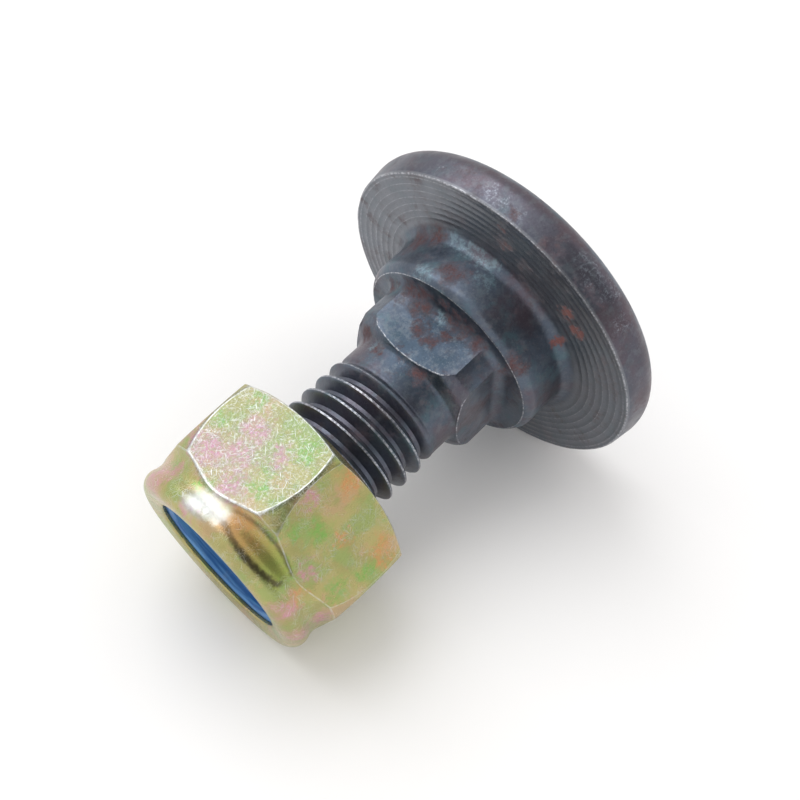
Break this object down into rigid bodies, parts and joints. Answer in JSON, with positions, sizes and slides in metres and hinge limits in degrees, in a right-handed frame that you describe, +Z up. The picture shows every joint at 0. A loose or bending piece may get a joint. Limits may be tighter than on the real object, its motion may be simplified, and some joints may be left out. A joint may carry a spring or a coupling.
{
  "type": "bolt with nut",
  "caption": "Short steel blade bolt with a wide round head, a round collar under it, a square neck and a metric thread, with a hexagon lock nut that holds a blue nylon ring, lying on its side.",
  "frame": {"origin": "bottom centre of the box round the part as it lies, on the ground it rests on", "axes": "+Z up; the bolt's axis lies in the XZ plane, from the head towards +X and the nut, and dips 11.5 degrees below +X because the head stands taller than the nut"},
  "size_m": [0.0414, 0.0328, 0.0323],
  "materials": {
    "dark_steel": "black oxide, worn to bright steel on the thread's crests and the sharp edges, with red-brown rust stains",
    "yellow_zinc": "yellow-passivated zinc plate with green, pink and gold patches and fine white scratches",
    "blue_nylon": "smooth deep blue nylon"
  },
  "bodies": {
    "bolt": {"bolt": "dark_steel"},
    "ring": {"nylon_ring": "blue_nylon"},
    "nut": {"nut": "yellow_zinc"}
  },
  "joints": [
    {"name": "nut_travel", "type": "slide", "parent": "bolt", "child": "ring", "axis": [0.98, 0, -0.1992], "range_m": [-0.0079, 0.0088]},
    {"name": "nut_turn", "type": "hinge", "parent": "ring", "child": "nut", "pos_m": [0.01302, 0, 0.01034], "axis": [0.98, 0, -0.1992], "range_deg": [-1620, 1800]}
  ],
  "couplings": [
    {"joint": "nut_travel", "follows": "nut_turn", "m_per_rad": 0.00027852}
  ]
}
